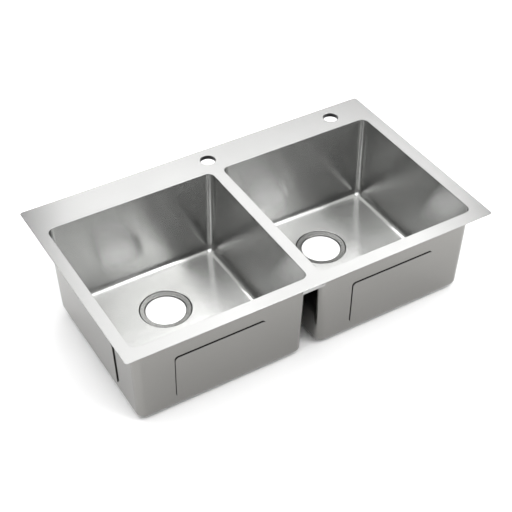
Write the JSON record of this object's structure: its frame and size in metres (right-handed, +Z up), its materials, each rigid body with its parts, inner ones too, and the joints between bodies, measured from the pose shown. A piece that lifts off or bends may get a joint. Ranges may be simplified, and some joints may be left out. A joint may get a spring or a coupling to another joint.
{
  "type": "double bowl kitchen sink",
  "caption": "Drop-in stainless steel double bowl kitchen sink with square bowls, drain recesses, a tap ledge, sound pads and fold-down clamp clips.",
  "frame": {"origin": "middle of the deck's outline, in the plane of the two drain recesses' undersides that the loose sink stands on", "axes": "+Z up, +X to the right along the deck's long side, +Y to the tap ledge at the rear"},
  "size_m": [0.84, 0.5, 0.2171],
  "materials": {
    "satin_steel": "satin, fine brushed grain",
    "galvanised_steel": "bright zinc plate, slightly mottled",
    "pad_rubber": "matte, grey skin over black rubber",
    "seal_foam": "matte closed-cell foam",
    "board_plastic": "matte"
  },
  "bodies": {
    "sink": {"deck_plate": "satin_steel", "rim_seal": "seal_foam", "left_bowl": "satin_steel", "right_bowl": "satin_steel", "front_divider_plate": "satin_steel", "rear_divider_plate": "satin_steel", "left_front_pad": "pad_rubber", "left_rear_pad": "pad_rubber", "left_outer_pad": "pad_rubber", "left_inner_pad": "pad_rubber", "left_bottom_pad": "pad_rubber", "right_front_pad": "pad_rubber", "right_rear_pad": "pad_rubber", "right_outer_pad": "pad_rubber", "right_inner_pad": "pad_rubber", "right_bottom_pad": "pad_rubber", "centre_tap_board": "board_plastic", "right_tap_board": "board_plastic", "front_left_rail": "galvanised_steel", "front_right_rail": "galvanised_steel", "rear_left_rail": "galvanised_steel", "rear_right_rail": "galvanised_steel", "left_rail": "galvanised_steel", "right_rail": "galvanised_steel", "earth_tag": "satin_steel", "front_left_clip_rivet": "galvanised_steel", "front_right_clip_rivet": "galvanised_steel", "rear_left_clip_rivet": "galvanised_steel", "rear_right_clip_rivet": "galvanised_steel", "left_side_clip_rivet": "galvanised_steel", "right_side_clip_rivet": "galvanised_steel"},
    "front_left_clip_arm": {"front_left_clip_arm": "galvanised_steel"},
    "front_left_clip_screw": {"front_left_clip_screw": "galvanised_steel"},
    "front_left_clip_toe": {"front_left_clip_toe": "galvanised_steel"},
    "front_right_clip_arm": {"front_right_clip_arm": "galvanised_steel"},
    "front_right_clip_screw": {"front_right_clip_screw": "galvanised_steel"},
    "front_right_clip_toe": {"front_right_clip_toe": "galvanised_steel"},
    "rear_left_clip_arm": {"rear_left_clip_arm": "galvanised_steel"},
    "rear_left_clip_screw": {"rear_left_clip_screw": "galvanised_steel"},
    "rear_left_clip_toe": {"rear_left_clip_toe": "galvanised_steel"},
    "rear_right_clip_arm": {"rear_right_clip_arm": "galvanised_steel"},
    "rear_right_clip_screw": {"rear_right_clip_screw": "galvanised_steel"},
    "rear_right_clip_toe": {"rear_right_clip_toe": "galvanised_steel"},
    "left_side_clip_arm": {"left_side_clip_arm": "galvanised_steel"},
    "left_side_clip_screw": {"left_side_clip_screw": "galvanised_steel"},
    "left_side_clip_toe": {"left_side_clip_toe": "galvanised_steel"},
    "right_side_clip_arm": {"right_side_clip_arm": "galvanised_steel"},
    "right_side_clip_screw": {"right_side_clip_screw": "galvanised_steel"},
    "right_side_clip_toe": {"right_side_clip_toe": "galvanised_steel"}
  },
  "joints": [
    {"name": "front_left_clip_fold", "type": "hinge", "parent": "sink", "child": "front_left_clip_arm", "pos_m": [-0.174, -0.2232, 0.2097], "axis": [0, -1, 0], "range_deg": [0, 90]},
    {"name": "front_left_clip_screw_turn", "type": "hinge", "parent": "front_left_clip_arm", "child": "front_left_clip_screw", "pos_m": [-0.174, -0.2288, 0.2097], "axis": [1, 0, 0], "range_deg": [0, 14860]},
    {"name": "front_left_clip_toe_travel", "type": "slide", "parent": "front_left_clip_arm", "child": "front_left_clip_toe", "axis": [1, 0, 0], "range_m": [0, 0.033]},
    {"name": "front_right_clip_fold", "type": "hinge", "parent": "sink", "child": "front_right_clip_arm", "pos_m": [0.231, -0.2232, 0.2097], "axis": [0, -1, 0], "range_deg": [0, 90]},
    {"name": "front_right_clip_screw_turn", "type": "hinge", "parent": "front_right_clip_arm", "child": "front_right_clip_screw", "pos_m": [0.231, -0.2288, 0.2097], "axis": [1, 0, 0], "range_deg": [0, 14860]},
    {"name": "front_right_clip_toe_travel", "type": "slide", "parent": "front_right_clip_arm", "child": "front_right_clip_toe", "axis": [1, 0, 0], "range_m": [0, 0.033]},
    {"name": "rear_left_clip_fold", "type": "hinge", "parent": "sink", "child": "rear_left_clip_arm", "pos_m": [-0.253, 0.2232, 0.2097], "axis": [0, 1, 0], "range_deg": [0, 90]},
    {"name": "rear_left_clip_screw_turn", "type": "hinge", "parent": "rear_left_clip_arm", "child": "rear_left_clip_screw", "pos_m": [-0.253, 0.2288, 0.2097], "axis": [-1, 0, 0], "range_deg": [0, 14860]},
    {"name": "rear_left_clip_toe_travel", "type": "slide", "parent": "rear_left_clip_arm", "child": "rear_left_clip_toe", "axis": [-1, 0, 0], "range_m": [0, 0.033]},
    {"name": "rear_right_clip_fold", "type": "hinge", "parent": "sink", "child": "rear_right_clip_arm", "pos_m": [0.1355, 0.2232, 0.2097], "axis": [0, 1, 0], "range_deg": [0, 90]},
    {"name": "rear_right_clip_screw_turn", "type": "hinge", "parent": "rear_right_clip_arm", "child": "rear_right_clip_screw", "pos_m": [0.1355, 0.2288, 0.2097], "axis": [-1, 0, 0], "range_deg": [0, 14860]},
    {"name": "rear_right_clip_toe_travel", "type": "slide", "parent": "rear_right_clip_arm", "child": "rear_right_clip_toe", "axis": [-1, 0, 0], "range_m": [0, 0.033]},
    {"name": "left_side_clip_fold", "type": "hinge", "parent": "sink", "child": "left_side_clip_arm", "pos_m": [-0.3972, -0.054, 0.2097], "axis": [-1, 0, 0], "range_deg": [0, 90]},
    {"name": "left_side_clip_screw_turn", "type": "hinge", "parent": "left_side_clip_arm", "child": "left_side_clip_screw", "pos_m": [-0.4028, -0.054, 0.2097], "axis": [0, -1, 0], "range_deg": [0, 14860]},
    {"name": "left_side_clip_toe_travel", "type": "slide", "parent": "left_side_clip_arm", "child": "left_side_clip_toe", "axis": [0, -1, 0], "range_m": [0, 0.033]},
    {"name": "right_side_clip_fold", "type": "hinge", "parent": "sink", "child": "right_side_clip_arm", "pos_m": [0.3922, 0.004, 0.2097], "axis": [1, 0, 0], "range_deg": [0, 90]},
    {"name": "right_side_clip_screw_turn", "type": "hinge", "parent": "right_side_clip_arm", "child": "right_side_clip_screw", "pos_m": [0.3978, 0.004, 0.2097], "axis": [0, 1, 0], "range_deg": [0, 14860]},
    {"name": "right_side_clip_toe_travel", "type": "slide", "parent": "right_side_clip_arm", "child": "right_side_clip_toe", "axis": [0, 1, 0], "range_m": [0, 0.033]}
  ],
  "couplings": [
    {"joint": "front_left_clip_screw_turn", "follows": "front_left_clip_toe_travel", "rad_per_m": 7854},
    {"joint": "front_right_clip_screw_turn", "follows": "front_right_clip_toe_travel", "rad_per_m": 7854},
    {"joint": "rear_left_clip_screw_turn", "follows": "rear_left_clip_toe_travel", "rad_per_m": 7854},
    {"joint": "rear_right_clip_screw_turn", "follows": "rear_right_clip_toe_travel", "rad_per_m": 7854},
    {"joint": "left_side_clip_screw_turn", "follows": "left_side_clip_toe_travel", "rad_per_m": 7854},
    {"joint": "right_side_clip_screw_turn", "follows": "right_side_clip_toe_travel", "rad_per_m": 7854}
  ]
}
